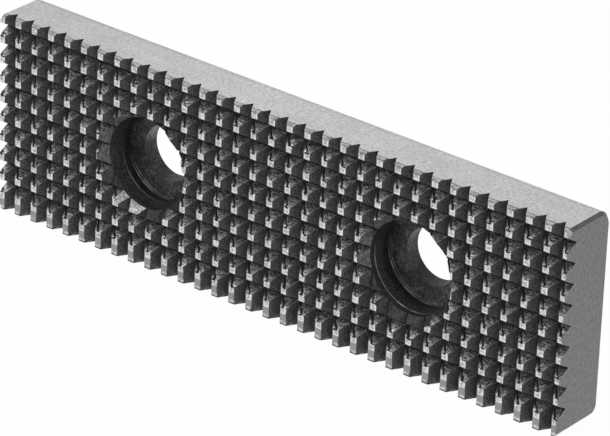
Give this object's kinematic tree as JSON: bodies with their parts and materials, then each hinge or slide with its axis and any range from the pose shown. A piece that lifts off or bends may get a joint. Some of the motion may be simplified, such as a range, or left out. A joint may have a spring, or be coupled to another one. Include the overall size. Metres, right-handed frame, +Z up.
{
  "type": "screw-on clamping jaw plate",
  "caption": "Flat steel clamping jaw with crossed V serrations on the gripping face and counterbored screw holes through it.",
  "frame": {"origin": "on the flat back mounting face, midway between the axes of the two screw holes", "axes": "+X along the plate's length, +Y out of the back face, away from the teeth, +Z up from the lower long edge to the upper one"},
  "size_m": [0.13, 0.012, 0.04],
  "materials": {
    "jaw_steel": "hardened and blackened in the grooves and bores, ground on the tooth tips and the long edges, satin on the ends"
  },
  "bodies": {
    "root": {"jaw_plate": "jaw_steel"}
  },
  "joints": []
}
